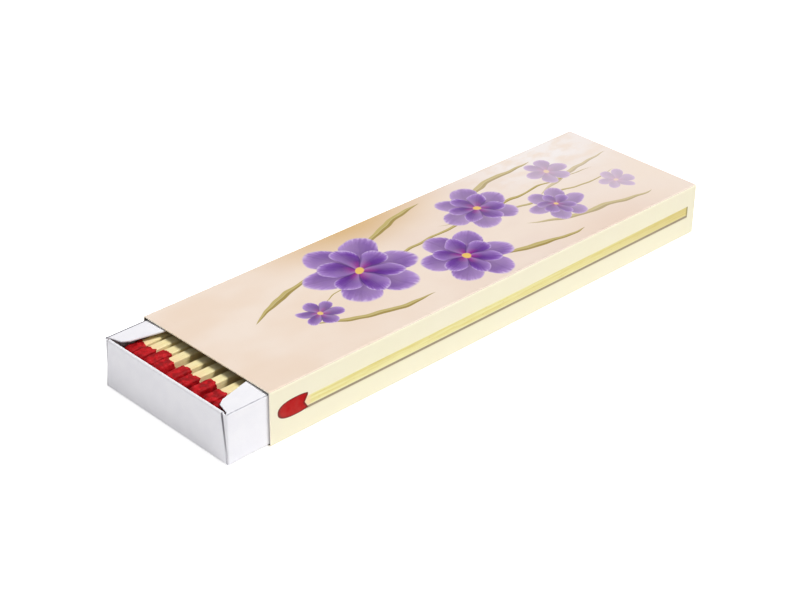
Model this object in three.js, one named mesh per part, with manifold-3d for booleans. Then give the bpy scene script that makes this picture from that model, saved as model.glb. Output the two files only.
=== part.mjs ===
import * as THREE from 'three';
import { mergeVertices } from 'three/addons/utils/BufferGeometryUtils.js';
import Module from 'manifold-3d';

// A box of long fireplace matches: a printed card sleeve open at both ends, a folded card
// tray drawn part way out of it, and the matches that lie in the tray.
// Millimetres. +X runs along the box to its far end, the tray is drawn out towards -X,
// +Z is up, and the origin is the middle of the sleeve's underside.

// Sleeve
const SLEEVE_LENGTH = 213.2;
const SLEEVE_WIDTH = 65;
const SLEEVE_HEIGHT = 20.7;
const SLEEVE_CARD = 0.45;
const SLEEVE_FOLD_RADIUS = 0.8;
const LAP_HEIGHT = 15;
const LAP_EDGE_HEIGHT = 0.6;
const GLUE_PRESS = 0.02;

// Striking strip on the sleeve's hidden long side
const STRIP_HEIGHT = 13;
const STRIP_COAT = 0.12;
const STRIP_END_MARGIN = 3;

// Tray and its fit in the sleeve
const TRAY_CARD = 0.45;
const TRAY_FOLD_RADIUS = 0.6;
const TRAY_SIDE_CLEARANCE = 0.3;
const TRAY_FLOOR_CLEARANCE = 0.3;
const TRAY_HEADROOM = 0.5;
const TRAY_END_INSET = 0.4;
const TRAY_DRAWN_OUT = 17.4;

// Turned-in flanges along the tray's side walls
const FLANGE_WIDTH = 10.4;
const FLANGE_RISE = 0.25;
const FLANGE_SETBACK = 1.4;
const FLANGE_END_WIDTH = 6;
const FLANGE_END_LEAN = 1.4;
const FLANGE_CORNER_WIDTH = 7.6;
const FLANGE_CORNER_LENGTH = 5.2;
const FLANGE_TAPER_LENGTH = 17;
const FLANGE_ROOT = 0.3;

// End flaps, folded up from the floor, over the corner tabs and down again
const FLAP_TOP_INSET = 2;
const FLAP_FOOT_INSET = 0.1;
const FLAP_FOOT_GAP = 0.2;
const FLAP_ROOT = 6;
const TAB_LENGTH = 16;

// Matches
const TAIL_ROOM = 8.3;
const STICK_SIDE = 3.6;
const STICK_CHAMFER = 0.22;
const HEAD_COAT_SIDE = 0.5;
const HEAD_COAT_TOP = 0.35;
const HEAD_NOSE = 2.2;
const HEAD_LENGTH = 8.2;
const HEAD_LENGTH_SPREAD = 1.5;
const HEAD_SQUARENESS = 6;
const HEAD_LUMPS = 0.02;
const COLLAR_RAGGEDNESS = 0.7;
const HEAD_GAP = 0.1;
const TIP_GAP = 0.5;
const TIP_SPREAD = 0.9;
const LIFT_SPREAD = 0.4;
const STICK_SIDE_SPREAD = 0.1;
const STACK_SIDE_GAP = 0.3;
const STACK_FLOOR_GAP = 0.1;
const STACK_HEADROOM = 0.4;
const LOOSE_LAYERS = 2;
const LAYER_PRESS = 0.05;
const TOP_MISSING = 3;
const TOP_SIDE_GAP = 5.5;
const TOP_UNEVENNESS = 0.9;
const TOP_SEED = 2288;
const LAYER_SEED = 52;
const LAYER_SEED_STEP = 17;

// Smoothness of round stretches
const FOLD_STEPS = 4;
const LOOSE_HEAD_SIDES = 16;
const PRESSED_HEAD_SIDES = 8;

// Worked out from the sizes above
const half = 0.5;
const trayLength = SLEEVE_LENGTH - 2 * TRAY_END_INSET;
const trayWidth = SLEEVE_WIDTH - 3 * SLEEVE_CARD - 2 * TRAY_SIDE_CLEARANCE;
const trayHeight = SLEEVE_HEIGHT - 2 * SLEEVE_CARD - TRAY_FLOOR_CLEARANCE - TRAY_HEADROOM;
const endWall = 3 * TRAY_CARD;
const tipSpace = endWall + TIP_GAP + TIP_SPREAD;
const matchLength = trayLength - tipSpace - TAIL_ROOM - endWall;
const headWidth = STICK_SIDE + 2 * HEAD_COAT_SIDE;
const headHeight = STICK_SIDE + 2 * HEAD_COAT_TOP;

const wasm = await Module();
wasm.setup();

// A closed geometry as a solid that can be joined and cut
function solidOf(geometry) {
  const bare = geometry.clone();
  bare.deleteAttribute('normal');
  bare.deleteAttribute('uv');
  const merged = mergeVertices(bare, 1e-5);
  return new wasm.Manifold(new wasm.Mesh({
    numProp: 3,
    vertProperties: new Float32Array(merged.attributes.position.array),
    triVerts: new Uint32Array(merged.index.array),
  }));
}

// The triangles of a solid as a geometry
function geometryOf(solid) {
  const mesh = solid.getMesh();
  const geometry = new THREE.BufferGeometry();
  geometry.setAttribute('position', new THREE.BufferAttribute(mesh.vertProperties, mesh.numProp));
  geometry.setIndex(new THREE.BufferAttribute(mesh.triVerts, 1));
  geometry.computeVertexNormals();
  return geometry;
}

function joined(solids) {
  return solids.reduce((sum, solid) => sum.add(solid));
}

const X = new THREE.Vector3(1, 0, 0);
const Y = new THREE.Vector3(0, 1, 0);
const Z = new THREE.Vector3(0, 0, 1);

// An outline pushed along one axis. The outline holds [y, z] points along x,
// [x, z] points along y and [x, y] points along z.
function prism(outline, along, from, to) {
  const shape = new THREE.Shape(outline.map(([a, b]) => new THREE.Vector2(a, b)));
  const geometry = new THREE.ExtrudeGeometry(shape, { depth: to - from, bevelEnabled: false });
  const bases = {
    x: new THREE.Matrix4().makeBasis(Y, Z, X).setPosition(from, 0, 0),
    y: new THREE.Matrix4().makeBasis(X, Z, Y.clone().negate()).setPosition(0, to, 0),
    z: new THREE.Matrix4().makeBasis(X, Y, Z).setPosition(0, 0, from),
  };
  geometry.applyMatrix4(bases[along]);
  return geometry;
}

// Outline of a strip of card whose middle follows straight panels with round folds
function foldedStrip(path, card, foldRadius) {
  const bend = foldRadius - card * half;
  const points = path.map(([a, b]) => new THREE.Vector2(a, b));
  const headings = points.slice(1).map((point, i) => point.clone().sub(points[i]).normalize());
  const middle = [];
  const put = (point, heading) => {
    const normal = new THREE.Vector2(-heading.y, heading.x);
    middle.push({ point, normal });
  };
  put(points[0], headings[0]);
  for (let i = 1; i < points.length - 1; i += 1) {
    const before = headings[i - 1];
    const after = headings[i];
    const turn = Math.atan2(before.cross(after), before.dot(after));
    const side = Math.sign(turn);
    const reach = bend * Math.tan(Math.abs(turn) * half);
    const start = points[i].clone().addScaledVector(before, -reach);
    const normal = new THREE.Vector2(-before.y, before.x);
    const centre = start.clone().addScaledVector(normal, side * bend);
    for (let step = 0; step <= FOLD_STEPS; step += 1) {
      const angle = turn * step / FOLD_STEPS;
      const heading = before.clone().rotateAround(new THREE.Vector2(), angle);
      const outward = new THREE.Vector2(-heading.y, heading.x);
      put(centre.clone().addScaledVector(outward, -side * bend), heading);
    }
  }
  put(points[points.length - 1], headings[headings.length - 1]);
  const edge = (sign) => middle.map(({ point, normal }) => {
    const moved = point.clone().addScaledVector(normal, sign * card * half);
    return [moved.x, moved.y];
  });
  return [...edge(-1), ...edge(1).reverse()];
}

// A repeatable spread between -1 and 1 for the small unevenness of real matches
function spread(seed) {
  const wave = Math.sin(seed * 12.9898 + 4.1414) * 43758.5453;
  return 2 * (wave - Math.floor(wave)) - 1;
}

function named(name, geometry, color, roughness) {
  const mesh = new THREE.Mesh(
    geometry,
    new THREE.MeshStandardMaterial({ color, roughness, metalness: 0 }),
  );
  mesh.name = name;
  return mesh;
}

// Sleeve: bottom, near side, top and outer far side in one wrap, with a lap from the
// bottom that is glued inside the far side
function sleeveGeometry() {
  const mid = SLEEVE_CARD * half;
  const side = SLEEVE_WIDTH * half - mid;
  const lap = side - SLEEVE_CARD + GLUE_PRESS;
  const top = SLEEVE_HEIGHT - mid;
  const under = [[lap, LAP_HEIGHT], [lap, mid], [-side, mid], [-side, top], [0, top]];
  const over = [[-side * half, top], [side, top], [side, LAP_EDGE_HEIGHT]];
  const wrap = [under, over].map((path) => {
    const outline = foldedStrip(path, SLEEVE_CARD, SLEEVE_FOLD_RADIUS);
    const reach = SLEEVE_LENGTH * half;
    return solidOf(prism(outline, 'x', -reach, reach));
  });
  return geometryOf(joined(wrap));
}

function stripGeometry() {
  const reach = SLEEVE_LENGTH * half - STRIP_END_MARGIN;
  const low = (SLEEVE_HEIGHT - STRIP_HEIGHT) * half;
  const face = SLEEVE_WIDTH * half;
  const outline = [
    [face, low],
    [face + STRIP_COAT, low],
    [face + STRIP_COAT, low + STRIP_HEIGHT],
    [face, low + STRIP_HEIGHT],
  ];
  return prism(outline, 'x', -reach, reach);
}

// Tray, from its own front end at x = 0, with its underside at z = 0 and y = 0 midway
const trayMid = TRAY_CARD * half;
const traySide = trayWidth * half - trayMid;
const trayTop = trayHeight - trayMid;
const cornerReach = TRAY_CARD + TRAY_FOLD_RADIUS;

// Floor, side walls and the folds that the flanges hang on
function troughSolid() {
  const root = traySide + trayMid - TRAY_FOLD_RADIUS - FLANGE_ROOT;
  const path = [
    [-root, trayTop],
    [-traySide, trayTop],
    [-traySide, trayMid],
    [traySide, trayMid],
    [traySide, trayTop],
    [root, trayTop],
  ];
  const outline = foldedStrip(path, TRAY_CARD, TRAY_FOLD_RADIUS);
  return solidOf(prism(outline, 'x', cornerReach, trayLength - cornerReach));
}

// One flange: a tapering panel with leaning ends that rises a little to its free edge
function flangeSolid(side) {
  const root = TRAY_FOLD_RADIUS;
  const ends = [
    [FLANGE_SETBACK, root],
    [FLANGE_SETBACK + FLANGE_END_LEAN, FLANGE_END_WIDTH],
    [FLANGE_CORNER_LENGTH, FLANGE_CORNER_WIDTH],
    [FLANGE_TAPER_LENGTH, FLANGE_WIDTH],
  ];
  const far = ends.map(([x, width]) => [trayLength - x, width]).reverse();
  const outline = [...ends, ...far].map(([x, width]) => [x, side * (trayWidth * half - width)]);
  const panel = prism(outline, 'z', trayHeight - TRAY_CARD, trayHeight);
  const slope = FLANGE_RISE / (FLANGE_WIDTH - root);
  const rise = new THREE.Matrix4().set(
    1, 0, 0, 0,
    0, 1, 0, 0,
    0, -side * slope, 1, slope * (trayWidth * half - root),
    0, 0, 0, 1,
  );
  return solidOf(panel.applyMatrix4(rise));
}

// Corner of a side wall with the tab that it turns in behind the end flap
function cornerSolid(side) {
  const tabMiddle = TRAY_CARD + trayMid;
  const plan = [
    [cornerReach + TRAY_CARD, side * traySide],
    [tabMiddle, side * traySide],
    [tabMiddle, side * (traySide - TAB_LENGTH)],
  ];
  const tabTop = trayHeight - TRAY_CARD;
  const corner = solidOf(prism(foldedStrip(plan, TRAY_CARD, TRAY_FOLD_RADIUS), 'z', 0, trayTop));
  const over = side * (trayWidth * half - TRAY_FOLD_RADIUS);
  const spare = side * (trayWidth * half - TAB_LENGTH - TRAY_FOLD_RADIUS);
  const above = [
    [0, over],
    [cornerReach, over],
    [cornerReach, spare],
    [0, spare],
  ];
  return corner.subtract(solidOf(prism(above, 'z', tabTop, trayHeight)));
}

// End flap: a panel that tapers upwards, folded over the tabs and down inside the tray
function flapSolid() {
  const foot = trayWidth * half - FLAP_FOOT_INSET;
  const head = trayWidth * half - FLAP_TOP_INSET;
  const inside = endWall - trayMid;
  const radius = Math.min(TRAY_FOLD_RADIUS, endWall * half);
  const wrap = [
    [FLAP_ROOT, trayMid],
    [trayMid, trayMid],
    [trayMid, trayTop],
    [inside, trayTop],
    [inside, TRAY_CARD + FLAP_FOOT_GAP],
  ];
  const folded = solidOf(prism(foldedStrip(wrap, TRAY_CARD, radius), 'y', -head, head));
  const panelTop = trayHeight - radius;
  const upright = [[FLAP_ROOT, trayMid], [trayMid, trayMid], [trayMid, panelTop]];
  const panel = solidOf(prism(foldedStrip(upright, TRAY_CARD, radius), 'y', -foot, foot));
  const taper = [[-foot, 0], [foot, 0], [head, panelTop], [-head, panelTop]];
  return folded.add(panel.intersect(solidOf(prism(taper, 'x', 0, FLAP_ROOT))));
}

function trayGeometry() {
  const front = joined([cornerSolid(-1), cornerSolid(1), flapSolid()]);
  const back = front.mirror([1, 0, 0]).translate([trayLength, 0, 0]);
  return geometryOf(joined([troughSolid(), flangeSolid(-1), flangeSolid(1), front, back]));
}

// One splint, square with eased edges
function stickGeometry(match) {
  const flat = STICK_SIDE * half;
  const eased = flat - STICK_CHAMFER;
  const corners = [
    [flat, -eased], [flat, eased], [eased, flat], [-eased, flat],
    [-flat, eased], [-flat, -eased], [-eased, -flat], [eased, -flat],
  ];
  const outline = corners.map(([y, z]) => [match.y + match.shift + y, match.z + z]);
  return prism(outline, 'x', match.start, match.tip + matchLength);
}

// One dipped head: rounded square sections from a blunt tip to a ragged collar
function headGeometry(match, sides) {
  const stations = [
    { along: 0.04, size: 0.55 },
    { along: 0.12, size: 0.86 },
    { along: 0.22, size: 1 },
    { along: 0.6, size: 1 },
    { along: 1, size: 1 },
  ];
  const vertices = [match.tip, match.y, match.z];
  stations.forEach(({ along, size }, ring) => {
    const last = ring === stations.length - 1;
    for (let i = 0; i < sides; i += 1) {
      const angle = 2 * Math.PI * i / sides;
      const across = Math.abs(Math.cos(angle)) ** HEAD_SQUARENESS;
      const upward = Math.abs(Math.sin(angle)) ** HEAD_SQUARENESS;
      const radius = (across + upward) ** (-1 / HEAD_SQUARENESS);
      const lump = 1 - HEAD_LUMPS * (1 + spread(match.seed + ring * sides + i)) * half;
      const ragged = last ? match.ragged * spread(match.seed * 3 + i) : 0;
      vertices.push(
        match.tip + match.head * along + ragged,
        match.y + headWidth * half * radius * size * lump * Math.cos(angle),
        match.z + headHeight * half * radius * size * lump * Math.sin(angle),
      );
    }
  });
  vertices.push(match.tip + match.head, match.y, match.z);
  const end = stations.length * sides + 1;
  const faces = [];
  for (let i = 0; i < sides; i += 1) {
    const next = (i + 1) % sides;
    faces.push(0, 1 + next, 1 + i);
    for (let ring = 0; ring < stations.length - 1; ring += 1) {
      const near = 1 + ring * sides;
      const far = near + sides;
      faces.push(near + i, near + next, far + i);
      faces.push(near + next, far + next, far + i);
    }
    faces.push(end, end - sides + i, end - sides + next);
  }
  const geometry = new THREE.BufferGeometry();
  geometry.setAttribute('position', new THREE.Float32BufferAttribute(vertices, 3));
  geometry.setIndex(faces);
  return geometry;
}

// A loose match: its splint reaches into its head, and no two are quite alike
function looseMatch(seed, y, z, lift) {
  const tip = endWall + TIP_GAP + TIP_SPREAD * (1 + spread(seed)) * half;
  return {
    seed: seed * 101,
    y,
    z: z + lift * (1 + spread(seed + 0.75)) * half,
    tip,
    start: tip + HEAD_NOSE,
    head: HEAD_LENGTH + HEAD_LENGTH_SPREAD * spread(seed + 0.5),
    shift: STICK_SIDE_SPREAD * spread(seed + 0.25),
    ragged: COLLAR_RAGGEDNESS,
  };
}

// A pressed match: in line with its neighbours, its splint starting where its head ends
function pressedMatch(seed, y, z) {
  const tip = endWall + TIP_GAP;
  return {
    seed: seed * 101,
    y,
    z,
    tip,
    start: tip + HEAD_LENGTH,
    head: HEAD_LENGTH,
    shift: 0,
    ragged: 0,
  };
}

// Middles of the top layer's matches, with the room of the missing ones left at both sides
// and in uneven gaps between those that are there
function topPlaces(count, stackRoom) {
  const room = stackRoom - 2 * TOP_SIDE_GAP;
  const tight = headWidth + HEAD_GAP;
  const spare = room - headWidth - (count - 1) * tight;
  const shares = Array.from({ length: count - 1 }, (_, i) => (
    1 + TOP_UNEVENNESS * spread(TOP_SEED + i)
  ));
  const whole = shares.reduce((sum, share) => sum + share, 0);
  const places = [(headWidth - room) * half];
  shares.forEach((share, i) => {
    places.push(places[i] + tight + spare * share / whole);
  });
  return places;
}

// Where the matches lie: as many pressed layers as the depth takes, the loose layers on
// them, and every second layer, from the top one down, half a pitch aside with a match fewer
function stackPlan() {
  const room = trayWidth - 2 * TRAY_CARD - 2 * STACK_SIDE_GAP;
  const across = Math.floor((room + HEAD_GAP) / (headWidth + HEAD_GAP));
  const pitch = (room - headWidth) / (across - 1);
  const pressedPitch = STICK_SIDE - LAYER_PRESS;
  const loosePitch = headHeight + HEAD_GAP;
  const depth = trayHeight - 2 * TRAY_CARD - STACK_FLOOR_GAP - STACK_HEADROOM;
  const below = depth - headHeight - LOOSE_LAYERS * loosePitch;
  const pressed = 1 + Math.floor(below / pressedPitch);
  const last = pressed + LOOSE_LAYERS - 1;
  const layers = [];
  let z = TRAY_CARD + STACK_FLOOR_GAP + headHeight * half;
  for (let layer = 0; layer <= last; layer += 1) {
    const fromTop = last - layer;
    const count = across - (fromTop + 1) % 2;
    const even = Array.from({ length: count }, (_, i) => (i - (count - 1) * half) * pitch);
    const places = fromTop === 0 ? topPlaces(count - TOP_MISSING, room) : even;
    const lift = fromTop === 0 ? LIFT_SPREAD : 0;
    const loose = layer >= pressed;
    const matches = places.map((y, i) => {
      const seed = LAYER_SEED - LAYER_SEED_STEP * fromTop + i;
      return loose ? looseMatch(seed, y, z, lift) : pressedMatch(seed, y, z);
    });
    layers.push({ loose, matches });
    z += layer + 1 < pressed ? pressedPitch : loosePitch;
  }
  return layers;
}

const WOOD = 0xf3df9f;
const COMPOSITION = 0xb8161f;

// The pressed layers' sticks rest on each other, so they are one solid, as are their heads
function pressedMeshes(matches) {
  const sticks = joined(matches.map((match) => solidOf(stickGeometry(match))));
  const heads = joined(matches.map((match) => solidOf(headGeometry(match, PRESSED_HEAD_SIDES))));
  return [
    named('lower_sticks', geometryOf(sticks), WOOD, 0.75),
    named('lower_heads', geometryOf(heads), COMPOSITION, 0.8),
  ];
}

function looseMeshes(match, label) {
  const stick = stickGeometry(match);
  const head = solidOf(headGeometry(match, LOOSE_HEAD_SIDES)).subtract(solidOf(stick));
  return [
    named(`${label}_stick`, stick, WOOD, 0.75),
    named(`${label}_head`, geometryOf(head), COMPOSITION, 0.8),
  ];
}

function matchMeshes() {
  const layers = stackPlan();
  const pressed = layers.filter((layer) => !layer.loose).flatMap((layer) => layer.matches);
  const loose = layers.filter((layer) => layer.loose).reverse();
  const meshes = pressedMeshes(pressed);
  loose.forEach((layer, depth) => {
    layer.matches.forEach((match, i) => {
      const number = String(i + 1).padStart(2, '0');
      meshes.push(...looseMeshes(match, `match_${'abc'[depth]}${number}`));
    });
  });
  return meshes;
}

const group = new THREE.Group();
group.add(named('sleeve', sleeveGeometry(), 0xf0ded0, 0.5));
group.add(named('striking_strip', stripGeometry(), 0x5a3526, 0.95));

const drawer = new THREE.Group();
drawer.position.set(
  -SLEEVE_LENGTH * half - TRAY_DRAWN_OUT,
  -SLEEVE_CARD * half,
  SLEEVE_CARD + TRAY_FLOOR_CLEARANCE,
);
drawer.add(named('tray', trayGeometry(), 0xf4f3f6, 0.7));
drawer.add(...matchMeshes());
group.add(drawer);

export default group;
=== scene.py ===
"""Looks of a box of long fireplace matches, dressed round its fixed frame.

All places and sizes are in metres, in the frame's own axes: +X along the box to its far
end, +Z up. The print and the grain are laid out in millimetres inside the materials.
"""

from __future__ import annotations

import logging
import math
from dataclasses import dataclass, field
from enum import Enum
from typing import Callable, Union

import bpy
from mathutils import Matrix, Vector


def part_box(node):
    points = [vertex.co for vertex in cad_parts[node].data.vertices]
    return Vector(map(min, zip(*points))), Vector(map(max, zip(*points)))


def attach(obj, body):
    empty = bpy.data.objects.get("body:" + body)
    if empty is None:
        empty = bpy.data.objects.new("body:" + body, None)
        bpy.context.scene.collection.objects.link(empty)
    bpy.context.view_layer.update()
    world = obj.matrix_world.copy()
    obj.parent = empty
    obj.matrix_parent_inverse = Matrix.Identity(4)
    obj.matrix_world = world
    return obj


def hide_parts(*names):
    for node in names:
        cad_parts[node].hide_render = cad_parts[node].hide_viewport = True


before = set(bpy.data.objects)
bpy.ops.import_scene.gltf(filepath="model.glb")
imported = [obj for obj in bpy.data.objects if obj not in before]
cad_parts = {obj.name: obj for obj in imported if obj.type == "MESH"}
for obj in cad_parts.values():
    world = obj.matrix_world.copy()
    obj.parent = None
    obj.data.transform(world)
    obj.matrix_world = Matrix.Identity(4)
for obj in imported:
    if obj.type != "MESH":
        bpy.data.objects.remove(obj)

Socket = bpy.types.NodeSocket
Value = Union[Socket, float]
Colour = tuple[float, float, float]

log = logging.getLogger("matchbox")
MM = 0.001


def srgb(red: int, green: int, blue: int) -> Colour:
    """Turns a display colour into the linear one that the shader takes.

    Args:
        red: red from 0 to 255.
        green: green from 0 to 255.
        blue: blue from 0 to 255.

    Returns:
        The linear colour.
    """
    def linear(value: float) -> float:
        """Linear share of one display channel."""
        if value <= 0.04045:
            return value / 12.92
        return ((value + 0.055) / 1.055) ** 2.4

    return linear(red / 255), linear(green / 255), linear(blue / 255)


def deselect_all() -> None:
    """Leaves nothing selected, in object mode."""
    if bpy.context.object and bpy.context.object.mode != "OBJECT":
        bpy.ops.object.mode_set(mode="OBJECT")
    bpy.ops.object.select_all(action="DESELECT")


def activate(piece: bpy.types.Object) -> None:
    """Makes one object the only selected and active one."""
    deselect_all()
    piece.select_set(True)
    bpy.context.view_layer.objects.active = piece


def cleared(owner: bpy.types.Material | bpy.types.World) -> Bench:
    """The bench of a new material's or world's emptied node tree."""
    owner.use_nodes = True
    owner.node_tree.nodes.clear()
    return Bench(owner.node_tree)


def clad(piece: bpy.types.Object, material: bpy.types.Material) -> bpy.types.Object:
    """Gives an object one material in place of its own, and returns the object."""
    piece.data.materials.clear()
    piece.data.materials.append(material)
    return piece


class Bench:
    """Adds nodes to one node tree and links them."""

    def __init__(self, tree: bpy.types.NodeTree) -> None:
        """Keeps the tree that the nodes go into."""
        self.tree = tree

    def node(self, kind: str, inputs: dict | None = None, **settings: object) -> bpy.types.Node:
        """Adds a node.

        Args:
            kind: the node's type without its ShaderNode prefix.
            inputs: socket name or number to a value or a socket to link.
            settings: properties of the node.

        Returns:
            The new node.
        """
        made = self.tree.nodes.new("ShaderNode" + kind)
        for name, value in settings.items():
            setattr(made, name, value)
        for name, value in (inputs or {}).items():
            self.feed(made.inputs[name], value)
        return made

    def feed(self, socket: Socket, value: object) -> None:
        """Links a socket, or sets its own value."""
        if isinstance(value, bpy.types.NodeSocket):
            self.tree.links.new(value, socket)
        elif socket.type == "RGBA":
            socket.default_value = (*value[:3], 1)
        else:
            socket.default_value = value

    def math(self, operation: str, *values: Value, clamp: bool = False) -> Socket:
        """Result of one math operation on one to three values."""
        inputs = dict(enumerate(values))
        return self.node("Math", inputs, operation=operation, use_clamp=clamp).outputs[0]

    def plus(self, first: Value, second: Value) -> Socket:
        """The sum of two values."""
        return self.math("ADD", first, second)

    def minus(self, first: Value, second: Value) -> Socket:
        """The first value less the second."""
        return self.math("SUBTRACT", first, second)

    def times(self, first: Value, *others: Value) -> Socket:
        """The product of all values."""
        product = first
        for other in others:
            product = self.math("MULTIPLY", product, other)
        return product

    def over(self, first: Value, second: Value, clamp: bool = False) -> Socket:
        """The first value divided by the second."""
        return self.math("DIVIDE", first, second, clamp=clamp)

    def size(self, value: Value) -> Socket:
        """A value without its sign."""
        return self.math("ABSOLUTE", value)

    def line(self, value: Value, slope: float, start: Value, clamp: bool = False) -> Socket:
        """A value times a slope, plus a start."""
        return self.math("MULTIPLY_ADD", value, slope, start, clamp=clamp)

    def beyond(self, value: Value, limit: float) -> Socket:
        """1 where a value is above a limit, else 0."""
        return self.math("GREATER_THAN", value, limit)

    def share(self, first: Socket, second: Socket, part: float) -> Socket:
        """Part of the first value and the rest of the second."""
        return self.plus(self.times(first, part), self.times(second, 1 - part))

    def radius(self, x: Value, y: Value) -> Socket:
        """How far a point is from where both coordinates are 0."""
        return self.math("SQRT", self.plus(self.times(x, x), self.times(y, y)))

    def vector(self, operation: str, *values: object) -> Socket:
        """Vector result of one vector operation."""
        inputs = dict(enumerate(values))
        return self.node("VectorMath", inputs, operation=operation).outputs[0]

    def scaled(self, vector: Socket, scale: float) -> Socket:
        """A vector times one number."""
        inputs = {0: vector, "Scale": scale}
        return self.node("VectorMath", inputs, operation="SCALE").outputs[0]

    def stretched(self, vector: Socket, x: float, y: float, z: float) -> Socket:
        """A vector with each axis times its own number."""
        return self.vector("MULTIPLY", vector, (x, y, z))

    def wandering(self, vector: Socket, scale: float, detail: float, reach: float) -> Socket:
        """A place moved about by a noise pattern, by up to half its reach each way."""
        inputs = {"Vector": vector, "Scale": scale, "Detail": detail}
        noise = self.node("TexNoise", inputs).outputs["Color"]
        offset = self.vector("SUBTRACT", noise, (0.5, 0.5, 0.5))
        return self.vector("ADD", vector, self.scaled(offset, reach))

    def parts(self, vector: Socket) -> tuple[Socket, Socket, Socket]:
        """The x, y and z of a vector."""
        split = self.node("SeparateXYZ", {0: vector})
        return split.outputs[0], split.outputs[1], split.outputs[2]

    def smooth(self, value: Value, low: Value, high: Value) -> Socket:
        """0 at low and 1 at high, with a soft change between. Low may be the greater."""
        inputs = {"Value": value, "From Min": low, "From Max": high}
        ranged = self.node("MapRange", inputs, interpolation_type="SMOOTHSTEP")
        return ranged.outputs[0]

    def band(self, value: Value, low: float, high: float, soft: float) -> Socket:
        """1 between two limits, with soft edges outside them."""
        return self.times(self.smooth(value, low - soft, low),
                          self.smooth(value, high + soft, high))

    def bell(self, x: Value, y: Value, middle: tuple, reach: tuple) -> Socket:
        """1 at the middle of an oval, falling softly to 0 at its half sizes."""
        along = self.over(self.minus(x, middle[0]), reach[0])
        across = self.over(self.minus(y, middle[1]), reach[1])
        return self.smooth(self.radius(along, across), 1.0, 0.0)

    def noise(self, vector: Socket, scale: float, detail: float) -> Socket:
        """Value of a noise pattern from 0 to 1."""
        inputs = {"Vector": vector, "Scale": scale, "Detail": detail}
        return self.node("TexNoise", inputs).outputs["Fac"]

    def grain(self, vector: Socket, x: float, y: float, z: float, detail: float) -> Socket:
        """Value of a noise pattern with its own scale along each axis."""
        return self.noise(self.stretched(vector, x, y, z), 1.0, detail)

    def mix(self, factor: Value, under: object, over: object) -> Socket:
        """A colour laid over another by a factor."""
        mixed = self.node("Mix", data_type="RGBA")
        self.feed(mixed.inputs[0], factor)
        self.feed(mixed.inputs[6], under)
        self.feed(mixed.inputs[7], over)
        return mixed.outputs[2]

    def tint(self, under: object, over: object, mask: Value, strength: float) -> Socket:
        """A colour laid over another through a mask, at part of its strength."""
        return self.mix(self.times(mask, strength), under, over)

    def ramp(self, factor: Socket, stops: list[tuple[float, Colour]]) -> Socket:
        """A colour that runs through stops as the factor goes from 0 to 1."""
        made = self.node("ValToRGB", {0: factor})
        elements = made.color_ramp.elements
        while len(elements) < len(stops):
            elements.new(1.0)
        for element, (place, colour) in zip(elements, stops):
            element.position = place
            element.color = (*colour, 1)
        return made.outputs[0]

    def seen(self) -> Socket:
        """1 for rays that come from the camera, a reflection or glass, else 0."""
        rays = self.node("LightPath").outputs
        return self.math("MAXIMUM", rays["Is Camera Ray"], self.math(
            "MAXIMUM", rays["Is Glossy Ray"], rays["Is Transmission Ray"]))


class Effect(Enum):
    """The effects that several materials or several print motifs share."""

    CARD_FIBRE = "card_fibre"
    BLOSSOM = "printed_blossom"
    LEAF = "printed_leaf"
    SPLINT_GRAIN = "splint_grain"


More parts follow.
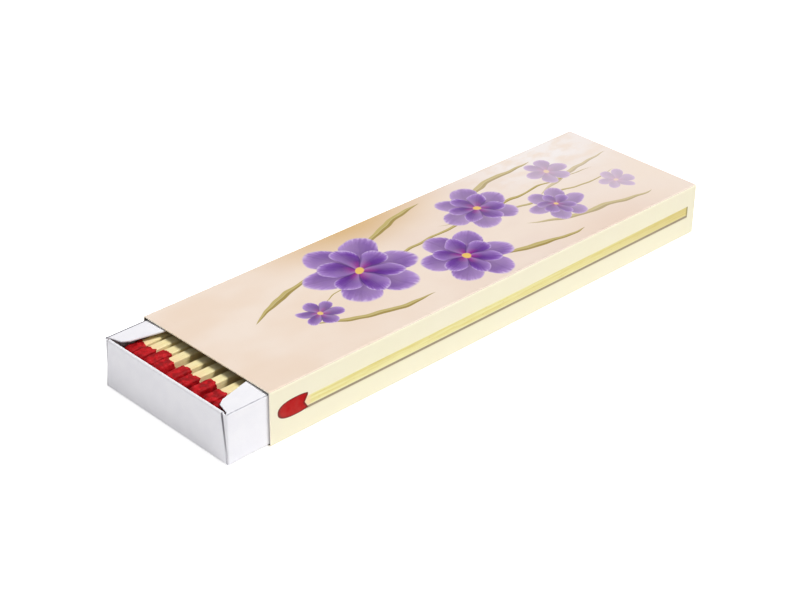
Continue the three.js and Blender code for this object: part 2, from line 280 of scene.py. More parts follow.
class EffectShelf:
    """Builds each shared effect once as a node group and places it in materials."""

    def __init__(self) -> None:
        """Starts with no group built."""
        self.groups: dict[Effect, bpy.types.NodeTree] = {}
        self.builders: dict[Effect, Callable[[bpy.types.NodeTree], None]] = {
            Effect.CARD_FIBRE: self.card_fibre,
            Effect.BLOSSOM: self.blossom,
            Effect.LEAF: self.leaf,
            Effect.SPLINT_GRAIN: self.splint_grain,
        }

    def place(self, bench: Bench, effect: Effect, inputs: dict) -> bpy.types.Node:
        """Puts an effect into a tree.

        Args:
            bench: the bench of the tree.
            effect: which effect.
            inputs: the group's input names to values or sockets.

        Returns:
            The group node.
        """
        if effect not in self.groups:
            tree = bpy.data.node_groups.new(effect.value, "ShaderNodeTree")
            self.builders[effect](tree)
            self.groups[effect] = tree
        placed = bench.tree.nodes.new("ShaderNodeGroup")
        placed.node_tree = self.groups[effect]
        for name, value in inputs.items():
            bench.feed(placed.inputs[name], value)
        return placed

    @staticmethod
    def sockets(tree: bpy.types.NodeTree, inputs: dict[str, str], outputs: dict[str, str]
                ) -> tuple[bpy.types.Node, bpy.types.Node]:
        """Gives a group its named sockets.

        Args:
            tree: the group.
            inputs: input name to the socket's kind.
            outputs: output name to the socket's kind.

        Returns:
            The group's input and output nodes.
        """
        for side, named in (("INPUT", inputs), ("OUTPUT", outputs)):
            for name, kind in named.items():
                tree.interface.new_socket(name, in_out=side, socket_type="NodeSocket" + kind)
        return tree.nodes.new("NodeGroupInput"), tree.nodes.new("NodeGroupOutput")

    def card_fibre(self, tree: bpy.types.NodeTree) -> None:
        """Fibres and cloudy thickness of card, from coordinates in millimetres."""
        into, out = self.sockets(tree, {"Position": "Vector"},
                                 {"Fibre": "Float", "Cloud": "Float", "Height": "Float"})
        bench = Bench(tree)
        place = into.outputs["Position"]
        bent = bench.wandering(place, 0.9, 2.0, 1.6)
        along = bench.grain(bent, 1.4, 9.0, 9.0, 2.0)
        across = bench.grain(bent, 9.0, 2.0, 2.0, 2.0)
        fibre = bench.smooth(bench.math("MAXIMUM", along, across), 0.52, 0.74)
        grit = bench.noise(place, 5.0, 4.0)
        bench.feed(out.inputs["Fibre"], fibre)
        bench.feed(out.inputs["Cloud"], bench.noise(place, 0.16, 4.0))
        bench.feed(out.inputs["Height"], bench.share(fibre, grit, 0.5))

    def blossom(self, tree: bpy.types.NodeTree) -> None:
        """A flat round blossom of equal petals, laid over the colour beneath it."""
        into, out = self.sockets(
            tree,
            {"Under": "Color", "Position": "Vector", "Centre": "Vector", "Radius": "Float",
             "Turn": "Float", "Petals": "Float", "Paleness": "Float", "Heart": "Float"},
            {"Colour": "Color"})
        bench, given = Bench(tree), into.outputs
        x, y, _ = bench.parts(bench.vector("SUBTRACT", given["Position"], given["Centre"]))
        reach = bench.over(bench.radius(x, y), given["Radius"])
        angle = bench.plus(bench.math("ARCTAN2", y, x), given["Turn"])
        turns = bench.times(angle, given["Petals"])
        lobe = bench.size(bench.math("COSINE", bench.times(turns, 0.5)))
        rim = bench.line(bench.math("POWER", lobe, 0.55), 0.5, 0.5)
        tone = bench.over(reach, rim)
        across = bench.math("FRACT", bench.plus(bench.over(turns, 2 * math.pi), 20.5))
        polar = bench.node("CombineXYZ", {0: bench.times(angle, 9.0),
                                          1: bench.times(reach, 1.6), 2: given["Radius"]})
        streaks = bench.noise(polar.outputs[0], 2.4, 3.0)
        petal = bench.ramp(bench.line(streaks, 0.22, bench.minus(tone, 0.11)), [
            (0.0, srgb(176, 48, 138)), (0.24, srgb(136, 36, 138)),
            (0.5, srgb(90, 36, 134)), (0.8, srgb(108, 58, 156)),
            (0.93, srgb(148, 106, 192)), (1.0, srgb(208, 184, 226))])
        petal = bench.tint(petal, srgb(192, 160, 218), bench.smooth(across, 0.2, 1.0), 0.42)
        petal = bench.tint(petal, srgb(68, 26, 104), bench.smooth(lobe, 0.42, 0.04), 0.7)
        petal = bench.tint(petal, srgb(96, 52, 136), bench.band(across, 0.485, 0.5, 0.03), 0.3)
        heart = bench.times(bench.smooth(reach, 0.15, 0.11), given["Heart"])
        petal = bench.mix(heart, petal, srgb(236, 196, 104))
        petal = bench.mix(given["Paleness"], petal, srgb(236, 218, 226))
        mask = bench.smooth(tone, 1.02, 0.97)
        bench.feed(out.inputs["Colour"], bench.mix(mask, given["Under"], petal))

    def leaf(self, tree: bpy.types.NodeTree) -> None:
        """A slender leaf with a midrib, bent to one side, laid over the colour beneath it."""
        into, out = self.sockets(
            tree,
            {"Under": "Color", "Position": "Vector", "Centre": "Vector", "Length": "Float",
             "Width": "Float", "Turn": "Float", "Bend": "Float", "Paleness": "Float"},
            {"Colour": "Color"})
        bench, given = Bench(tree), into.outputs
        offset = bench.vector("SUBTRACT", given["Position"], given["Centre"])
        turned = bench.node("VectorRotate", {
            "Vector": offset, "Angle": bench.times(given["Turn"], -1.0)},
            rotation_type="Z_AXIS").outputs[0]
        x, y, _ = bench.parts(turned)
        along = bench.over(x, given["Length"])
        arch = bench.minus(1.0, bench.times(along, along, 4.0))
        lean = bench.minus(y, bench.times(arch, given["Bend"]))
        slender = bench.math("POWER", bench.math("MAXIMUM", arch, 0.0001), 0.8)
        across = bench.over(lean, bench.times(slender, bench.times(given["Width"], 0.5)))
        veins = bench.grain(turned, 0.12, 3.2, 1.0, 3.0)
        green = bench.mix(bench.smooth(across, -0.15, 0.15), srgb(168, 146, 84),
                          srgb(206, 188, 124))
        green = bench.tint(green, srgb(146, 134, 66), veins, 0.45)
        rib = bench.smooth(bench.size(across), 0.14, 0.03)
        green = bench.tint(green, srgb(230, 216, 168), rib, 0.5)
        green = bench.mix(given["Paleness"], green, srgb(240, 226, 212))
        mask = bench.smooth(bench.size(across), 1.06, 0.86)
        bench.feed(out.inputs["Colour"], bench.mix(mask, given["Under"], green))

    def splint_grain(self, tree: bpy.types.NodeTree) -> None:
        """Sawn pale wood with its grain along x, from coordinates in millimetres."""
        into, out = self.sockets(
            tree, {"Position": "Vector", "Pale": "Color", "Dark": "Color"},
            {"Colour": "Color", "Height": "Float"})
        bench, given = Bench(tree), into.outputs
        rings = bench.grain(given["Position"], 0.012, 1.1, 1.1, 4.0)
        fibres = bench.grain(given["Position"], 0.09, 6.5, 6.5, 3.0)
        flecks = bench.grain(given["Position"], 0.35, 4.5, 4.5, 2.0)
        tone = bench.smooth(bench.share(rings, fibres, 0.6), 0.4, 0.66)
        colour = bench.mix(tone, given["Pale"], given["Dark"])
        colour = bench.tint(colour, srgb(170, 128, 70), bench.smooth(flecks, 0.66, 0.78), 0.5)
        bench.feed(out.inputs["Colour"], colour)
        bench.feed(out.inputs["Height"], bench.share(fibres, flecks, 0.7))


@dataclass(frozen=True)
class Finish:
    """What every finish has in common: a name, a plain roughness and a sheen of varnish."""

    name: str
    roughness: float
    specular: float

    def start(self) -> tuple[bpy.types.Material, Bench, bpy.types.Node, Socket]:
        """Makes the material.

        Returns:
            The material, its bench, its shader and the position in millimetres.
        """
        material = bpy.data.materials.new(self.name)
        bench = cleared(material)
        shader = bench.node("BsdfPrincipled", {"Roughness": self.roughness,
                                               "Specular IOR Level": self.specular})
        bench.node("OutputMaterial", {"Surface": shader.outputs[0]})
        coordinates = bench.node("TexCoord").outputs["Object"]
        return material, bench, shader, bench.scaled(coordinates, 1 / MM)

    @staticmethod
    def dress(bench: Bench, shader: bpy.types.Node, colour: Socket, height: Socket,
              depth: float) -> None:
        """Feeds the shader a colour and a bump.

        Args:
            bench: the material's bench.
            shader: the material's shader.
            colour: the base colour.
            height: the bump's height from 0 to 1.
            depth: how deep the bump is, in metres.
        """
        bump = bench.node("Bump", {"Height": height, "Strength": 1.0, "Distance": depth})
        bench.feed(shader.inputs["Base Color"], colour)
        bench.feed(shader.inputs["Normal"], bump.outputs[0])


@dataclass(frozen=True)
class Blossom:
    """One printed blossom, in millimetres from the middle of the sleeve's top."""

    x: float
    y: float
    radius: float
    turn: float
    paleness: float = 0.0
    heart: float = 1.0
    petals: int = 6


@dataclass(frozen=True)
class Leaf:
    """One printed leaf, in millimetres from the middle of the sleeve's top."""

    x: float
    y: float
    length: float
    width: float
    turn: float
    bend: float
    paleness: float = 0.0


@dataclass(frozen=True)
class Haze:
    """A soft oval spot of colour on the top, in millimetres from the top's middle."""

    middle: tuple[float, float]
    reach: tuple[float, float]
    strength: float
    colour: Colour


@dataclass(frozen=True)
class PrintedMatch:
    """The plain match printed along the near side, in millimetres in the sleeve's axes."""

    tip: float = -103.5
    collar: float = -90.6
    tail: float = 102.4
    low: float = 9.1
    high: float = 12.7
    shadow: float = 0.8
    overlap: float = 2.6
    head_z: float = 11.3
    head_half: float = 3.35
    head_power: float = 2.4
    notch_z: float = 10.9
    notch_half: float = 2.4
    notch_slope: float = 0.6
    darker_from: float = 20.0

    def printed(self, bench: Bench, shelf: EffectShelf, place: Socket,
                ground: Socket) -> Socket:
        """The match with its head and its shadow, laid over the ground.

        Args:
            bench: the material's bench.
            shelf: the shared effects.
            place: the position in millimetres.
            ground: the ground's colour.

        Returns:
            The colour.
        """
        x, _, z = bench.parts(place)
        length = bench.band(x, self.collar - 1.4, self.tail, 0.15)
        foot = self.low - self.shadow
        halo = bench.times(bench.band(z, foot, self.low, 1.1), length)
        colour = bench.tint(ground, srgb(196, 178, 138), halo, 0.3)
        shade = bench.times(bench.band(z, foot, self.low, 0.35), length)
        colour = bench.tint(colour, srgb(136, 120, 98), shade, 0.85)
        grain = shelf.place(bench, Effect.SPLINT_GRAIN, {
            "Position": bench.stretched(place, 1.6, 1.0, 0.8),
            "Pale": srgb(243, 235, 172), "Dark": srgb(228, 214, 136)})
        wood = bench.mix(bench.smooth(z, self.low + 0.5, self.low), grain.outputs["Colour"],
                         srgb(246, 238, 190))
        far = bench.smooth(x, self.darker_from, self.tail)
        wood = bench.tint(wood, srgb(210, 186, 108), far, 0.5)
        end = bench.smooth(x, self.tail - 1.2, self.tail)
        wood = bench.mix(end, wood, srgb(150, 138, 88))
        stick = bench.times(bench.band(z, self.low, self.high, 0.12), length)
        colour = bench.mix(stick, colour, wood)
        middle = (self.tip + self.collar + self.overlap) / 2
        along = bench.over(bench.minus(x, middle), middle - self.tip)
        across = bench.over(bench.minus(z, self.head_z), self.head_half)
        oval = bench.plus(bench.math("POWER", bench.size(along), self.head_power),
                          bench.math("POWER", bench.size(across), self.head_power))
        away = bench.size(bench.minus(z, self.notch_z))
        notch = bench.times(bench.minus(self.notch_half, away), self.notch_slope)
        edge = bench.plus(x, bench.math("MAXIMUM", notch, 0.0))
        head = bench.times(bench.smooth(oval, 1.05, 0.98),
                           bench.smooth(edge, self.collar + 0.15, self.collar - 0.15))
        inner = bench.times(bench.smooth(oval, 0.9, 0.62),
                            bench.smooth(edge, self.collar - 0.2, self.collar - 1.4))
        red = bench.mix(bench.noise(place, 0.8, 3.0), srgb(190, 0, 10), srgb(174, 4, 10))
        red = bench.mix(inner, srgb(118, 12, 20), red)
        fringe = bench.times(stick, bench.smooth(x, self.collar + 1.6, self.collar))
        colour = bench.tint(colour, srgb(250, 214, 184), fringe, 0.7)
        return bench.mix(head, colour, red)


@dataclass(frozen=True)
class PrintedCard(Finish):
    """The sleeve's coated, printed card, with raw board inside and at its cut ends."""

    name: str = "printed_card"
    roughness: float = 0.45
    specular: float = 0.06
    half_length: float = 106.6
    half_width: float = 32.5
    height: float = 20.7
    card: float = 0.45
    match: PrintedMatch = PrintedMatch()
    amber: Haze = Haze((-13, 36), (58, 29), 0.85, srgb(214, 173, 106))
    rose: Haze = Haze((62, -34), (50, 26), 0.5, srgb(230, 200, 180))
    mist: Haze = Haze((82, 26), (58, 32), 0.85, srgb(248, 243, 243))

    def leaves(self) -> list[Leaf]:
        """The printed leaves and stems, from the back to the front."""
        return [
            Leaf(80, 6, 48, 2.4, 0.2, 2.0, 0.45),
            Leaf(64, -17, 56, 2.8, -0.24, -3.0, 0.25),
            Leaf(48, 19, 54, 3.0, 0.2, 3.5, 0.2),
            Leaf(26, -21, 50, 2.6, -0.2, -2.0),
            Leaf(-4, 21, 46, 3.0, 0.34, 2.5),
            Leaf(-46, -17, 46, 2.6, -0.3, -3.0),
            Leaf(-62, 9, 44, 2.6, 0.3, 2.0),
            Leaf(14, 1, 150, 1.5, 0.05, 6.0),
            Leaf(52, 4, 84, 1.3, -0.16, -4.0, 0.15),
        ]

    def blossoms(self) -> list[Blossom]:
        """The printed blossoms, from the back to the front, outer whorls before inner."""
        return [
            Blossom(88, -9, 8.0, 0.4, 0.66),
            Blossom(73, 14, 10.0, 1.1, 0.55),
            Blossom(56, -7, 12.0, 0.2, 0.34, 0.0),
            Blossom(56, -7, 7.5, 0.7, 0.2),
            Blossom(31, 11, 16.0, 0.9, 0.22, 0.0),
            Blossom(31, 11, 11.0, 1.4, 0.06),
            Blossom(-62, -6, 8.5, 0.5, 0.1),
            Blossom(3, -12, 18.5, 0.3, 0.12, 0.0),
            Blossom(3, -12, 12.5, 0.8),
            Blossom(-32, 6, 22.5, 1.25, 0.1, 0.0),
            Blossom(-32, 6, 15.5, 1.75),
        ]

    def top_print(self, bench: Bench, shelf: EffectShelf, place: Socket) -> Socket:
        """The top's print: a loose spray of blossoms on a warm hazy ground.

        Args:
            bench: the material's bench.
            shelf: the shared effects.
            place: the position in millimetres.

        Returns:
            The colour.
        """
        x, y, _ = bench.parts(place)
        colour = bench.ramp(bench.smooth(x, -self.half_length, self.half_length), [
            (0.0, srgb(240, 219, 200)), (0.3, srgb(241, 222, 206)),
            (0.62, srgb(238, 219, 206)), (1.0, srgb(243, 228, 217))])
        cloud = bench.noise(bench.stretched(place, 0.6, 1.0, 0.0), 0.045, 2.0)
        colour = bench.mix(bench.smooth(cloud, 0.35, 0.7), colour, srgb(244, 228, 214))
        for haze in (self.amber, self.rose):
            spot = bench.bell(x, y, haze.middle, haze.reach)
            colour = bench.tint(colour, haze.colour, spot, haze.strength)
        wisps = bench.noise(bench.stretched(place, 1.0, 1.6, 0.0), 0.11, 4.0)
        spot = bench.times(bench.bell(x, y, self.mist.middle, self.mist.reach),
                           bench.smooth(wisps, 0.3, 0.62))
        colour = bench.tint(colour, self.mist.colour, spot, self.mist.strength)
        flat = bench.stretched(place, 1.0, 1.0, 0.0)
        drawn = bench.stretched(bench.wandering(flat, 0.07, 1.0, 5.0), 1.0, 1.0, 0.0)
        for leaf in self.leaves():
            colour = shelf.place(bench, Effect.LEAF, {
                "Under": colour, "Position": drawn, "Centre": (leaf.x, leaf.y, 0),
                "Length": leaf.length, "Width": leaf.width, "Turn": leaf.turn,
                "Bend": leaf.bend, "Paleness": leaf.paleness}).outputs[0]
        for blossom in self.blossoms():
            colour = shelf.place(bench, Effect.BLOSSOM, {
                "Under": colour, "Position": drawn, "Centre": (blossom.x, blossom.y, 0),
                "Radius": blossom.radius, "Turn": blossom.turn,
                "Petals": float(blossom.petals), "Paleness": blossom.paleness,
                "Heart": blossom.heart}).outputs[0]
        return colour

    def side_print(self, bench: Bench, shelf: EffectShelf, place: Socket) -> Socket:
        """The sides' print: a lemon ground, with one plain match along the near side.

        Args:
            bench: the material's bench.
            shelf: the shared effects.
            place: the position in millimetres.

        Returns:
            The colour.
        """
        ground = bench.mix(bench.noise(place, 0.05, 2.0), srgb(246, 241, 211),
                           srgb(246, 239, 216))
        near = bench.smooth(bench.parts(place)[1], 0.5, -0.5)
        return bench.mix(near, ground, self.match.printed(bench, shelf, place, ground))

    def material(self, shelf: EffectShelf) -> bpy.types.Material:
        """Builds the card's material.

        Args:
            shelf: the shared effects.

        Returns:
            The material.
        """
        material, bench, shader, place = self.start()
        x, y, z = bench.parts(place)
        fibre = shelf.place(bench, Effect.CARD_FIBRE, {"Position": place}).outputs
        flank = bench.minus(self.half_width, bench.size(y))
        drop = bench.minus(self.height, z)
        is_top = bench.smooth(bench.minus(flank, drop), -0.05, 0.05)
        colour = bench.mix(is_top, self.side_print(bench, shelf, place),
                           self.top_print(bench, shelf, place))
        above = bench.math("MINIMUM", flank, drop)
        underside = bench.smooth(bench.minus(above, z), 0.05, 0.15)
        colour = bench.mix(underside, colour, srgb(246, 241, 212))
        mottle = bench.smooth(fibre["Cloud"], 0.35, 0.7)
        colour = bench.tint(colour, srgb(236, 214, 190), mottle, 0.05)
        rubbed = self.rubbed_folds(bench, place, flank, drop, z)
        colour = bench.tint(colour, srgb(253, 249, 240), rubbed, 0.35)
        wall = self.card / 2
        inside = bench.times(bench.beyond(flank, wall), bench.beyond(drop, wall),
                             bench.beyond(z, wall))
        board = bench.tint(srgb(138, 129, 116), srgb(108, 99, 86), fibre["Fibre"], 0.35)
        colour = bench.mix(inside, colour, board)
        end = bench.beyond(bench.size(x), self.half_length - 0.02)
        cut = bench.tint(srgb(250, 240, 222), srgb(216, 200, 176), fibre["Fibre"], 0.4)
        colour = bench.mix(end, colour, cut)
        raw = bench.math("MAXIMUM", inside, end)
        rough = bench.line(fibre["Cloud"], 0.1, self.roughness - 0.05)
        bench.feed(shader.inputs["Roughness"], bench.line(raw, 0.4, rough))
        self.dress(bench, shader, colour, fibre["Height"], 0.006 * MM)
        return material

    @staticmethod
    def rubbed_folds(bench: Bench, place: Socket, flank: Socket, drop: Socket,
                     z: Socket) -> Socket:
        """Where the print is rubbed thin along the long folds.

        Args:
            bench: the material's bench.
            place: the position in millimetres.
            flank: the distance in from the long sides.
            drop: the distance down from the top.
            z: the height.

        Returns:
            The mask.
        """
        near = bench.plus(flank, bench.math("MINIMUM", drop, z))
        patchy = bench.smooth(bench.grain(place, 0.12, 1.2, 1.2, 5.0), 0.48, 0.72)
        return bench.times(bench.smooth(near, 0.62, 0.46), patchy)


@dataclass(frozen=True)
class WhiteCard(Finish):
    """The tray's plain white card, with painted shade in its creases and corners, under its
    flanges and in the gaps along its end flaps' cut edges.

    All in millimetres: how far the end flaps' cut edges are from the tray's middle at foot
    and head, their lowest point and rise, how far the flanges rise above the walls, and
    how far in from the front the shade under them is full and gone.
    """

    name: str = "white_card"
    roughness: float = 0.62
    specular: float = 0.2
    flap_foot: float = 31.425
    flap_head: float = 29.525
    flap_low: float = 0.75
    flap_rise: float = 18.4
    flange_rise: float = 0.25
    shade_full: float = 16.0
    shade_gone: float = 24.0
    near_fold_shade: Colour = srgb(140, 138, 148)
    far_fold_shade: Colour = srgb(84, 82, 92)

    def material(self, shelf: EffectShelf, low: Vector, high: Vector) -> bpy.types.Material:
        """Builds the white card's material.

        Args:
            shelf: the shared effects.
            low: the tray's lowest corner in metres.
            high: the tray's highest corner in metres.

        Returns:
            The material.
        """
        material, bench, shader, place = self.start()
        x, y, z = bench.parts(place)
        fibre = shelf.place(bench, Effect.CARD_FIBRE, {"Position": place}).outputs
        colour = bench.mix(bench.smooth(fibre["Cloud"], 0.3, 0.7), srgb(247, 246, 250),
                           srgb(243, 242, 247))
        colour = bench.tint(colour, srgb(226, 222, 226), fibre["Fibre"], 0.18)
        middle = (low.y + high.y) / 2 / MM
        half_width = (high.y - low.y) / 2 / MM
        flank = bench.minus(half_width, bench.size(bench.minus(y, middle)))
        drop = bench.minus(high.z / MM - self.flange_rise, z)
        front = low.x / MM
        upright = bench.math("MINIMUM", bench.minus(x, front), bench.minus(high.x / MM, x))
        # Painted shade along the folds and corners: darker and wider along the far fold, which
        # turns away from the light.
        far_side = bench.smooth(y, middle - 1, middle + 1)
        fold = bench.times(bench.plus(flank, drop), bench.line(far_side, -0.55, 1.0))
        crease_shade = bench.times(bench.band(fold, 0.1, 0.34, 0.12), bench.smooth(drop, 1.2, 0.6))
        corner = bench.band(bench.plus(flank, upright), 0.1, 0.5, 0.15)
        fold_shade = bench.math("MAXIMUM", crease_shade, bench.times(corner, 0.7))
        uneven = bench.smooth(bench.grain(place, 0.5, 2.0, 2.0, 4.0), 0.3, 0.6)
        firm = bench.line(far_side, 0.4, 0.5)
        fold_shade = bench.times(fold_shade, bench.line(uneven, 0.4, firm, clamp=True))
        colour = bench.mix(fold_shade, colour, bench.mix(far_side, self.near_fold_shade, self.far_fold_shade))
        # Painted shade under the flanges, full near the front and gone further in.
        inner = bench.times(bench.band(flank, 0.7, 7.0, 0.2), bench.smooth(upright, 0.9, 1.2),
                            bench.smooth(x, front + self.shade_gone, front + self.shade_full),
                            bench.smooth(drop, 0.3, 1.2))
        colour = bench.tint(colour, srgb(58, 50, 52), inner, 0.85)
        # Painted shade in the gaps along the end flaps' cut edges, deeper where the gap opens
        # higher up.
        cut = self.flap_gap_shade(bench, y, z, middle, upright)
        colour = bench.mix(cut, colour, srgb(112, 110, 118))
        bench.feed(shader.inputs["Roughness"],
                   bench.line(fibre["Cloud"], 0.12, self.roughness))
        self.dress(bench, shader, colour, fibre["Height"], 0.01 * MM)
        return material

    def flap_gap_shade(self, bench: Bench, y: Socket, z: Socket, middle: float,
                   upright: Socket) -> Socket:
        """Painted shade in the open gaps along the two end flaps' cut edges.

        Args:
            bench: the material's bench.
            y: the place across the tray in millimetres.
            z: the height in millimetres.
            middle: y of the tray's middle.
            upright: the distance in from the tray's nearer end.

        Returns:
            The mask.
        """
        rise = bench.over(bench.minus(z, self.flap_low), self.flap_rise, clamp=True)
        edge = bench.line(rise, self.flap_head - self.flap_foot, self.flap_foot)
        away = bench.size(bench.minus(bench.size(bench.minus(y, middle)), edge))
        near = bench.smooth(upright, 0.56, 0.5)
        open_share = bench.line(rise, 0.75, 0.2)
        return bench.times(bench.smooth(away, 0.3, 0.1), near, open_share)


@dataclass(frozen=True)
class SplintWood(Finish):
    """Pale sawn splints, waxed and a little pinker next to their heads.

    In millimetres: x of the wax's ends and the heights between which the shade grows.
    Columns and rows are counted to the millimetre, so that each splint has its own tone.
    """

    name: str = "splint_wood"
    roughness: float = 0.7
    specular: float = 0.15
    waxed_from: float = -113.5
    waxed_to: float = -109.5
    shade_from: float = 14.7
    shade_to: float = 13.1
    columns: float = 0.2118
    rows: float = 0.2326

    def material(self, shelf: EffectShelf, tail: float) -> bpy.types.Material:
        """Builds the wood's material.

        Args:
            shelf: the shared effects.
            tail: x of the splints' plain ends, in millimetres.

        Returns:
            The material.
        """
        material, bench, shader, place = self.start()
        x, _, z = bench.parts(place)
        grain = shelf.place(bench, Effect.SPLINT_GRAIN, {
            "Position": place, "Pale": srgb(253, 241, 192), "Dark": srgb(243, 221, 156)})
        steps = bench.vector("FLOOR", bench.stretched(place, 0.0, self.columns, self.rows))
        own = bench.node("TexWhiteNoise", {"Vector": steps}).outputs["Value"]
        colour = bench.tint(grain.outputs["Colour"], srgb(244, 228, 162), own, 0.4)
        # Painted shade on the lower layers of splints, growing downwards.
        deep = bench.smooth(z, self.shade_from, self.shade_to)
        colour = bench.tint(colour, srgb(84, 56, 28), deep, 0.8)
        waxed = bench.smooth(x, self.waxed_to, self.waxed_from)
        colour = bench.tint(colour, srgb(250, 214, 170), waxed, 0.45)
        rings = bench.smooth(bench.grain(place, 0.0, 2.2, 0.9, 3.0), 0.4, 0.6)
        end = bench.times(bench.beyond(x, tail), rings)
        colour = bench.mix(end, colour, srgb(196, 160, 100))
        self.dress(bench, shader, colour, grain.outputs["Height"], 0.05 * MM)
        return material


@dataclass(frozen=True)
class HeadComposition(Finish):
    """Dried red dip: dull, lumpy, darker in its pits, scuffed on its high spots and with
    painted highlights on them.

    The shade between the heads grows downwards, between two heights in millimetres.
    """

    name: str = "head_composition"
    roughness: float = 0.6
    specular: float = 0.15
    shade_from: float = 14.4
    shade_to: float = 12.8

    def material(self) -> bpy.types.Material:
        """Builds the dip's material and returns it."""
        material, bench, shader, place = self.start()
        lumps = bench.noise(place, 0.45, 4.0)
        grit = bench.noise(place, 2.6, 4.0)
        colour = bench.mix(bench.smooth(lumps, 0.36, 0.64), srgb(146, 12, 19),
                           srgb(194, 20, 29))
        pits = bench.smooth(grit, 0.42, 0.3)
        colour = bench.tint(colour, srgb(124, 6, 14), pits, 0.45)
        # Painted shade between the heads, growing downwards.
        deep = bench.smooth(bench.parts(place)[2], self.shade_from, self.shade_to)
        colour = bench.tint(colour, srgb(96, 4, 10), deep, 0.55)
        # Scuffs and painted highlights, pinker on the high spots.
        scuff_and_highlight = bench.smooth(bench.times(lumps, grit), 0.33, 0.42)
        colour = bench.tint(colour, srgb(226, 70, 76), scuff_and_highlight, 0.4)
        bench.feed(shader.inputs["Roughness"], bench.line(grit, 0.3, self.roughness - 0.15))
        self.dress(bench, shader, colour, bench.share(lumps, grit, 0.65), 0.2 * MM)
        return material


@dataclass(frozen=True)
class StrikingCoat(Finish):
    """Dark gritty striking coat, printed as a close field of small dots."""

    name: str = "striking_coat"
    roughness: float = 0.9
    specular: float = 0.2
    pitch: float = 1.1

    def material(self) -> bpy.types.Material:
        """Builds the coat's material and returns it."""
        material, bench, shader, place = self.start()
        cells = bench.node("TexVoronoi", {
            "Vector": bench.stretched(place, 1 / self.pitch, 0.0, 1 / self.pitch),
            "Scale": 1.0, "Randomness": 0.12})
        dots = bench.smooth(cells.outputs["Distance"], 0.5, 0.36)
        grit = bench.noise(place, 9.0, 4.0)
        colour = bench.mix(dots, srgb(120, 86, 70), srgb(74, 42, 34))
        worn = bench.smooth(grit, 0.55, 0.7)
        colour = bench.tint(colour, srgb(140, 104, 88), worn, 0.5)
        height = bench.line(grit, 0.5, bench.times(dots, 0.5))
        self.dress(bench, shader, colour, height, 0.05 * MM)
        return material


@dataclass
class SleeveLooks:
    """The sleeve and the striking strip on its far side."""

    shelf: EffectShelf
    card: PrintedCard = field(default_factory=PrintedCard)
    coat: StrikingCoat = field(default_factory=StrikingCoat)

    def dress(self) -> list[bpy.types.Object]:
        """Gives both nodes their finishes and returns them."""
        return [clad(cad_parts["sleeve"], self.card.material(self.shelf)),
                clad(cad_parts["striking_strip"], self.coat.material())]


@dataclass
class TrayLooks:
    """The folded white tray."""

    shelf: EffectShelf
    card: WhiteCard = field(default_factory=WhiteCard)

    def dress(self) -> list[bpy.types.Object]:
        """Gives the tray its finish and returns it."""
        low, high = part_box("tray")
        return [clad(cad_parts["tray"], self.card.material(self.shelf, low, high))]


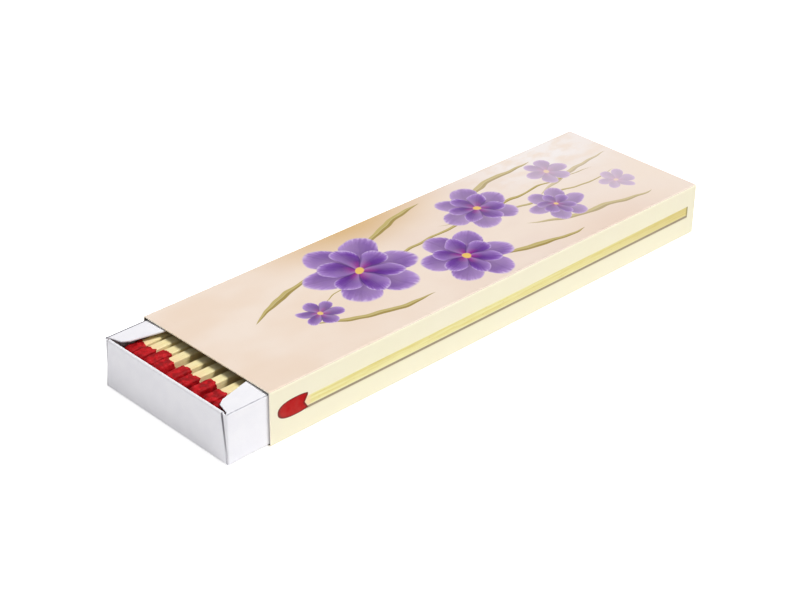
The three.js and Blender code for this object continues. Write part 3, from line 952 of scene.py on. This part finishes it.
@dataclass
class MatchLooks:
    """The splints and their dipped heads.

    The body's share and middle are for a head of unit length. Each tip step is how far the
    end is drawn out, in the same unit, and what it is then narrowed by.
    """

    shelf: EffectShelf
    wood: SplintWood = field(default_factory=SplintWood)
    composition: HeadComposition = field(default_factory=HeadComposition)
    body_share: float = 0.76
    body_middle: float = 0.12
    tip_steps: tuple[tuple[float, float], ...] = ((0.1, 0.9), (0.09, 0.74), (0.05, 0.5))
    voxel: float = 0.22 * MM
    edge_round: float = 1.2 * MM
    lump_size: float = 2.0 * MM
    lump_depth: float = 0.5 * MM
    fringe_size: float = 1.5 * MM
    fringe_depth: float = 2.6 * MM
    collar_share: float = 0.3

    def splints(self) -> list[bpy.types.Object]:
        """Gives every splint its wood and returns them."""
        names = [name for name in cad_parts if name.endswith(("_stick", "_sticks"))]
        tail = min(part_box(name)[1].x for name in names) / MM - 0.05
        material = self.wood.material(self.shelf, tail)
        return [clad(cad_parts[name], material) for name in names]

    def master_head(self) -> bpy.types.Object:
        """Models one head of unit length, width and height, with its collar towards +X.

        Returns:
            The head, to be copied and then deleted.
        """
        deselect_all()
        bpy.ops.mesh.primitive_cube_add(size=1.0, location=(self.body_middle, 0, 0))
        head = bpy.context.object
        head.name = "head_master"
        head.scale = (self.body_share, 1.0, 1.0)
        bpy.ops.object.transform_apply(location=True, rotation=True, scale=True)
        bpy.ops.object.mode_set(mode="EDIT")
        bpy.ops.mesh.select_all(action="DESELECT")
        bpy.ops.mesh.select_mode(type="FACE")
        bpy.ops.object.mode_set(mode="OBJECT")
        for polygon in head.data.polygons:
            polygon.select = polygon.normal.x < -0.9
        bpy.ops.object.mode_set(mode="EDIT")
        for step, size in self.tip_steps:
            bpy.ops.mesh.extrude_region_move(TRANSFORM_OT_translate={"value": (-step, 0, 0)})
            bpy.ops.transform.resize(value=(1, size, size))
        bpy.ops.object.mode_set(mode="OBJECT")
        return head

    def fitted(self, master: bpy.types.Object, node: str) -> bpy.types.Object:
        """Copies the head to a node's place and gives it lumps and a ragged collar.

        Args:
            master: the modelled head.
            node: the node that it stands for.

        Returns:
            The finished head.
        """
        low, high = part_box(node)
        head = bpy.data.objects.new(node + "_dipped", master.data.copy())
        bpy.context.scene.collection.objects.link(head)
        size = high - low
        middle = (low + high) / 2
        head.data.transform(Matrix.Translation(middle) @ Matrix.Diagonal((*size, 1)))
        activate(head)
        self.apply(head, "BEVEL", width=self.edge_round, segments=3, limit_method="ANGLE")
        self.apply(head, "REMESH", mode="VOXEL", voxel_size=self.voxel)
        self.apply(head, "SMOOTH", iterations=5, factor=0.5)
        group = head.vertex_groups.new(name="collar")
        start = high.x - self.collar_share * size.x
        for vertex in head.data.vertices:
            weight = (vertex.co.x - start) / (high.x - start)
            group.add([vertex.index], max(0.0, weight), "REPLACE")
        self.apply(head, "DISPLACE", texture=self.cloud("head_fringe", self.fringe_size),
                   texture_coords="GLOBAL", direction="X", mid_level=0.62,
                   strength=self.fringe_depth, vertex_group=group.name)
        self.apply(head, "DISPLACE", texture=self.cloud("head_lumps", self.lump_size),
                   texture_coords="GLOBAL", direction="NORMAL", mid_level=0.6,
                   strength=self.lump_depth)
        head.vertex_groups.clear()
        bpy.ops.object.shade_smooth()
        return head

    @staticmethod
    def cloud(name: str, size: float) -> bpy.types.Texture:
        """A cloudy texture of a given grain, made once."""
        texture = bpy.data.textures.get(name) or bpy.data.textures.new(name, "CLOUDS")
        texture.noise_scale = size
        texture.noise_depth = 2
        return texture

    @staticmethod
    def apply(piece: bpy.types.Object, kind: str, **settings: object) -> None:
        """Adds a modifier to the active piece and applies it.

        Args:
            piece: the active object.
            kind: the modifier's type.
            settings: its properties.
        """
        modifier = piece.modifiers.new(kind.lower(), kind)
        for name, value in settings.items():
            setattr(modifier, name, value)
        bpy.ops.object.modifier_apply(modifier=modifier.name)

    def heads(self) -> list[bpy.types.Object]:
        """Models every loose head and dresses the pressed ones.

        Returns:
            The heads.
        """
        material = self.composition.material()
        master = self.master_head()
        made = []
        for name in sorted(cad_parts):
            if not name.endswith("_head"):
                continue
            head = clad(self.fitted(master, name), material)
            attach(head, "tray")
            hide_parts(name)
            made.append(head)
        bpy.data.objects.remove(master)
        return [*made, clad(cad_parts["lower_heads"], material)]


@dataclass(frozen=True)
class Lamp:
    """A far lamp: the way to it, its strength and how wide it looks, in radians."""

    name: str
    towards: tuple[float, float, float]
    strength: float
    width: float


@dataclass
class Studio:
    """Plain pale floor, soft light and the camera at the photograph's angle.

    The angles are in degrees, the lens and the sensor in millimetres. The sky is how strong
    the background lights the box; the rays that see it find pure white.
    """

    azimuth: float = -44.15
    elevation: float = 30.33
    roll: float = 0.66
    distance: float = 0.7021
    aside: tuple[float, float] = (-0.0132, -0.0015)
    lens: float = 86.96
    sensor: float = 36.0
    nearest: float = 0.01
    floor_size: float = 6.0
    floor_z: float = -0.00002
    floor_tone: Colour = (0.9, 0.9, 0.9)
    floor_glow: float = 0.76
    sky: float = 0.24
    lamps: tuple[Lamp, ...] = (
        Lamp("soft_sun", (0.42, -0.4, 0.815), 2.86, 0.35),
        Lamp("low_fill", (-1.0, -0.1, 0.05), 0.74, 0.05),
    )

    def camera(self) -> bpy.types.Object:
        """Sets the camera up and returns it."""
        azimuth, elevation = math.radians(self.azimuth), math.radians(self.elevation)
        back = Vector((math.sin(azimuth) * math.cos(elevation),
                       -math.cos(azimuth) * math.cos(elevation), math.sin(elevation)))
        level = (-back).cross(Vector((0, 0, 1))).normalized()
        upright = level.cross(-back)
        tilt = math.radians(self.roll)
        right = level * math.cos(tilt) + upright * math.sin(tilt)
        up = upright * math.cos(tilt) - level * math.sin(tilt)
        place = back * self.distance + right * self.aside[0] + up * self.aside[1]
        data = bpy.data.cameras.new("photo_camera")
        data.lens = self.lens
        data.sensor_width = self.sensor
        data.clip_start = self.nearest
        camera = bpy.data.objects.new("photo_camera", data)
        bpy.context.scene.collection.objects.link(camera)
        turn = Matrix((right, up, back)).transposed().to_4x4()
        camera.matrix_world = Matrix.Translation(place) @ turn
        bpy.context.scene.camera = camera
        return camera

    def floor(self) -> bpy.types.Object:
        """Lays the pale floor under the box and returns it."""
        deselect_all()
        bpy.ops.mesh.primitive_plane_add(size=self.floor_size, location=(0, 0, self.floor_z))
        floor = bpy.context.object
        floor.name = "studio_floor"
        bpy.ops.object.transform_apply(location=True, rotation=True, scale=True)
        material = bpy.data.materials.new("studio_floor")
        bench = cleared(material)
        shader = bench.node("BsdfPrincipled", {
            "Base Color": self.floor_tone, "Roughness": 0.9, "Specular IOR Level": 0.1,
            "Emission Color": (1, 1, 1),
            "Emission Strength": bench.times(bench.seen(), self.floor_glow)})
        bench.node("OutputMaterial", {"Surface": shader.outputs[0]})
        floor.data.materials.append(material)
        return floor

    def light(self) -> None:
        """Sets the sky, one broad soft sun and a low fill for the tray's front."""
        world = bpy.data.worlds.new("studio_sky")
        bench = cleared(world)
        strength = bench.line(bench.seen(), 1.0 - self.sky, self.sky)
        back = bench.node("Background", {"Color": (1, 1, 1), "Strength": strength})
        bench.node("OutputWorld", {"Surface": back.outputs[0]})
        bpy.context.scene.world = world
        for lamp in self.lamps:
            data = bpy.data.lights.new(lamp.name, "SUN")
            data.energy = lamp.strength
            data.angle = lamp.width
            placed = bpy.data.objects.new(lamp.name, data)
            bpy.context.scene.collection.objects.link(placed)
            turn = Vector(lamp.towards).to_track_quat("Z", "Y")
            placed.matrix_world = turn.to_matrix().to_4x4()


def report(title: str, pieces: list[bpy.types.Object]) -> None:
    """Logs each piece of a sub-assembly with its faces."""
    for piece in pieces:
        log.info("%s: %s, %d faces", title, piece.name, len(piece.data.polygons))


def main() -> None:
    """Builds the studio, then dresses the sleeve, the tray and the matches."""
    logging.basicConfig(level=logging.INFO, format="%(name)s: %(message)s")
    bpy.context.scene.view_settings.view_transform = "Standard"
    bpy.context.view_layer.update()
    studio = Studio()
    studio.camera()
    studio.floor()
    studio.light()
    shelf = EffectShelf()
    report("sleeve", SleeveLooks(shelf).dress())
    report("tray", TrayLooks(shelf).dress())
    matches = MatchLooks(shelf)
    report("splints", matches.splints())
    report("heads", matches.heads())


if __name__ == "__main__":
    main()
